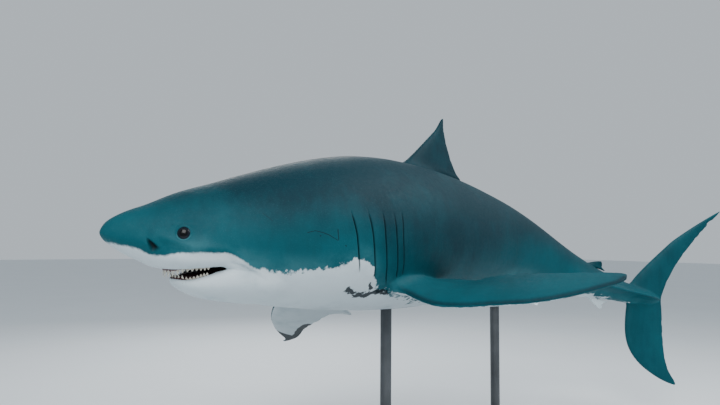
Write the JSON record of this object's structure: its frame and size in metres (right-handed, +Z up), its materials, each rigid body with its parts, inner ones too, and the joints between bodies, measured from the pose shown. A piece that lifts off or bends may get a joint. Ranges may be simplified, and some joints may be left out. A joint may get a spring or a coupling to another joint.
{
  "type": "shark display model",
  "caption": "Life-size great white shark model in a swimming bend, mouth slightly open, held over a flat base by two upright rods.",
  "frame": {"origin": "middle of the underside of the stand's base", "axes": "+X from the head towards the tail, +Y towards the shark's right, +Z up"},
  "size_m": [4.31, 2.2508, 1.9913],
  "materials": {
    "skin": "matte",
    "eye": "gloss",
    "stand": "satin"
  },
  "bodies": {
    "root": {"head": "skin", "lower_jaw": "skin", "trunk_front": "skin", "trunk_middle": "skin", "trunk_rear": "skin", "tail_stock": "skin", "pectoral_fin_left": "skin", "pectoral_fin_right": "skin", "pelvic_fin_left": "skin", "pelvic_fin_right": "skin", "dorsal_fin": "skin", "second_dorsal_fin": "skin", "anal_fin": "skin", "caudal_fin_upper": "skin", "caudal_fin_lower": "skin", "eye_left": "eye", "eye_right": "eye", "stand_base": "stand", "stand_rod_front": "stand", "stand_rod_rear": "stand"}
  },
  "joints": []
}
